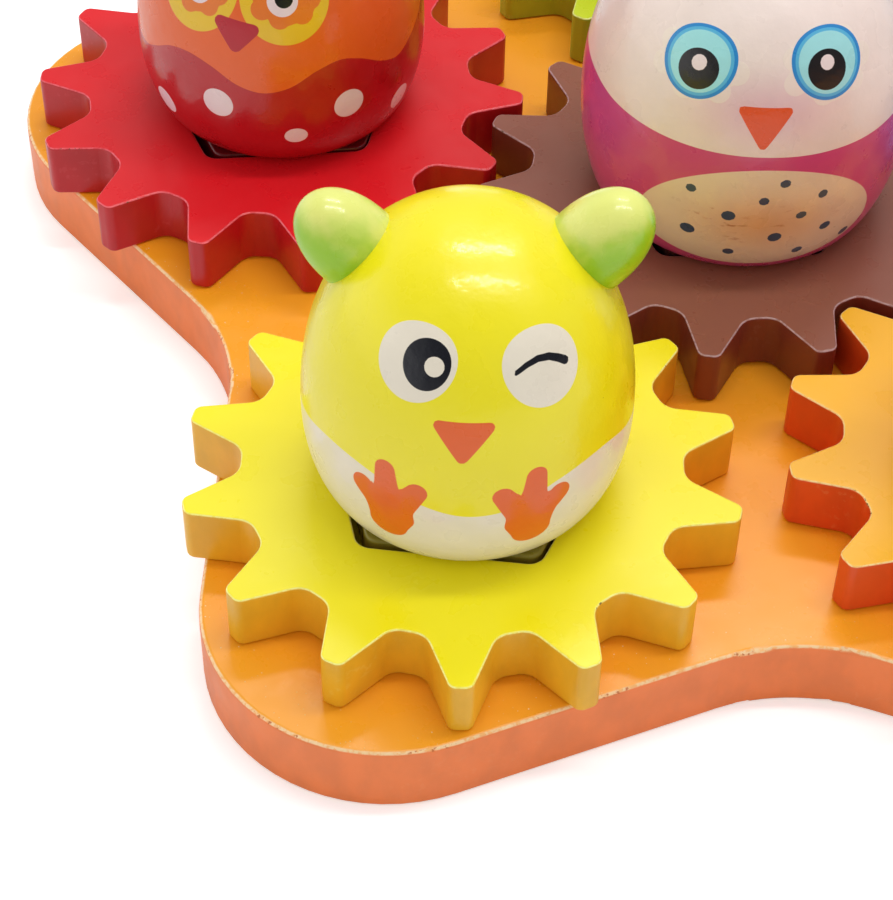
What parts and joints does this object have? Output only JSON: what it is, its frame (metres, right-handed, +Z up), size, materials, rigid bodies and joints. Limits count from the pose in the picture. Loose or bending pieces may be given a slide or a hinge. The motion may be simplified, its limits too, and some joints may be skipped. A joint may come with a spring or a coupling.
{
  "type": "wooden gear toy",
  "caption": "Star-shaped board with meshing toothed gears that turn together, each carrying a lift-off painted bird figure on a five-sided peg.",
  "frame": {"origin": "axis of the middle gear at the underside of the board", "axes": "+Z up along the gear axles, -Y towards the side the figures face, +X to the right as seen from the front"},
  "size_m": [0.295, 0.2838, 0.0912],
  "materials": {
    "board_paint": "gloss orange paint",
    "steel": "zinc plated",
    "nylon": "natural nylon",
    "brass": "plain",
    "gear_brown_paint": "satin brown paint",
    "gear_red_paint": "satin red paint",
    "gear_yellow_paint": "satin yellow paint",
    "gear_orange_paint": "satin orange paint",
    "gear_green_paint": "satin green paint",
    "gear_blue_paint": "satin blue paint",
    "bare_wood": "bare beech",
    "pink_owl_paint": "gloss paint with a painted face",
    "pink_owl_ear_paint": "gloss paint",
    "pink_owl_peg_paint": "gloss paint",
    "red_owl_paint": "gloss paint with a painted face",
    "red_owl_ear_paint": "gloss paint",
    "red_owl_peg_paint": "gloss paint",
    "chick_paint": "gloss paint with a painted face",
    "chick_ear_paint": "gloss paint",
    "chick_peg_paint": "gloss paint",
    "orange_owl_paint": "gloss paint with a painted face",
    "orange_owl_ear_paint": "gloss paint",
    "orange_owl_peg_paint": "gloss paint",
    "green_owl_paint": "gloss paint with a painted face",
    "green_owl_ear_paint": "gloss paint",
    "green_owl_peg_paint": "gloss paint",
    "blue_owl_paint": "gloss paint with a painted face",
    "blue_owl_ear_paint": "gloss paint",
    "blue_owl_peg_paint": "gloss paint"
  },
  "bodies": {
    "board": {"base_board": "board_paint", "axle_screws": "steel", "gear_washers": "nylon", "threaded_inserts": "brass"},
    "brown_gear": {"gear_brown": "gear_brown_paint"},
    "red_gear": {"gear_red": "gear_red_paint"},
    "yellow_gear": {"gear_yellow": "gear_yellow_paint"},
    "orange_gear": {"gear_orange": "gear_orange_paint"},
    "green_gear": {"gear_green": "gear_green_paint"},
    "blue_gear": {"gear_blue": "gear_blue_paint"},
    "pink_owl": {"pink_owl_body": "pink_owl_paint", "pink_owl_ear_left": "pink_owl_ear_paint", "pink_owl_ear_right": "pink_owl_ear_paint", "pink_owl_peg": "pink_owl_peg_paint", "pink_owl_dowel": "bare_wood"},
    "red_owl": {"red_owl_body": "red_owl_paint", "red_owl_ear_left": "red_owl_ear_paint", "red_owl_ear_right": "red_owl_ear_paint", "red_owl_peg": "red_owl_peg_paint", "red_owl_dowel": "bare_wood"},
    "chick": {"chick_body": "chick_paint", "chick_ear_left": "chick_ear_paint", "chick_ear_right": "chick_ear_paint", "chick_peg": "chick_peg_paint", "chick_dowel": "bare_wood"},
    "orange_owl": {"orange_owl_body": "orange_owl_paint", "orange_owl_ear_left": "orange_owl_ear_paint", "orange_owl_ear_right": "orange_owl_ear_paint", "orange_owl_peg": "orange_owl_peg_paint", "orange_owl_dowel": "bare_wood"},
    "green_owl": {"green_owl_body": "green_owl_paint", "green_owl_ear_left": "green_owl_ear_paint", "green_owl_ear_right": "green_owl_ear_paint", "green_owl_peg": "green_owl_peg_paint", "green_owl_dowel": "bare_wood"},
    "blue_owl": {"blue_owl_body": "blue_owl_paint", "blue_owl_ear_left": "blue_owl_ear_paint", "blue_owl_ear_right": "blue_owl_ear_paint", "blue_owl_peg": "blue_owl_peg_paint", "blue_owl_dowel": "bare_wood"}
  },
  "joints": [
    {"name": "brown_gear_turn", "type": "hinge", "parent": "board", "child": "brown_gear", "pos_m": [0, 0, 0.0211], "axis": [0, 0, 1], "continuous": true},
    {"name": "red_gear_turn", "type": "hinge", "parent": "board", "child": "red_gear", "pos_m": [-0.08996, 0.02958, 0.0211], "axis": [0, 0, 1], "continuous": true},
    {"name": "yellow_gear_turn", "type": "hinge", "parent": "board", "child": "yellow_gear", "pos_m": [-0.05431, -0.07586, 0.0211], "axis": [0, 0, 1], "continuous": true},
    {"name": "orange_gear_turn", "type": "hinge", "parent": "board", "child": "orange_gear", "pos_m": [0.0534, -0.07269, 0.0211], "axis": [0, 0, 1], "continuous": true},
    {"name": "green_gear_turn", "type": "hinge", "parent": "board", "child": "green_gear", "pos_m": [0, 0.0948, 0.0211], "axis": [0, 0, 1], "continuous": true},
    {"name": "blue_gear_turn", "type": "hinge", "parent": "board", "child": "blue_gear", "pos_m": [0.08816, 0.02865, 0.0211], "axis": [0, 0, 1], "continuous": true},
    {"name": "pink_owl_lift", "type": "slide", "parent": "brown_gear", "child": "pink_owl", "axis": [0, 0, 1], "range_m": [0, 0.02]},
    {"name": "red_owl_lift", "type": "slide", "parent": "red_gear", "child": "red_owl", "axis": [0, 0, 1], "range_m": [0, 0.02]},
    {"name": "chick_lift", "type": "slide", "parent": "yellow_gear", "child": "chick", "axis": [0, 0, 1], "range_m": [0, 0.02]},
    {"name": "orange_owl_lift", "type": "slide", "parent": "orange_gear", "child": "orange_owl", "axis": [0, 0, 1], "range_m": [0, 0.02]},
    {"name": "green_owl_lift", "type": "slide", "parent": "green_gear", "child": "green_owl", "axis": [0, 0, 1], "range_m": [0, 0.02]},
    {"name": "blue_owl_lift", "type": "slide", "parent": "blue_gear", "child": "blue_owl", "axis": [0, 0, 1], "range_m": [0, 0.02]}
  ],
  "couplings": [
    {"joint": "red_gear_turn", "follows": "brown_gear_turn", "ratio": -1},
    {"joint": "yellow_gear_turn", "follows": "brown_gear_turn", "ratio": -1},
    {"joint": "orange_gear_turn", "follows": "brown_gear_turn", "ratio": -1},
    {"joint": "green_gear_turn", "follows": "brown_gear_turn", "ratio": -1},
    {"joint": "blue_gear_turn", "follows": "brown_gear_turn", "ratio": -1}
  ]
}
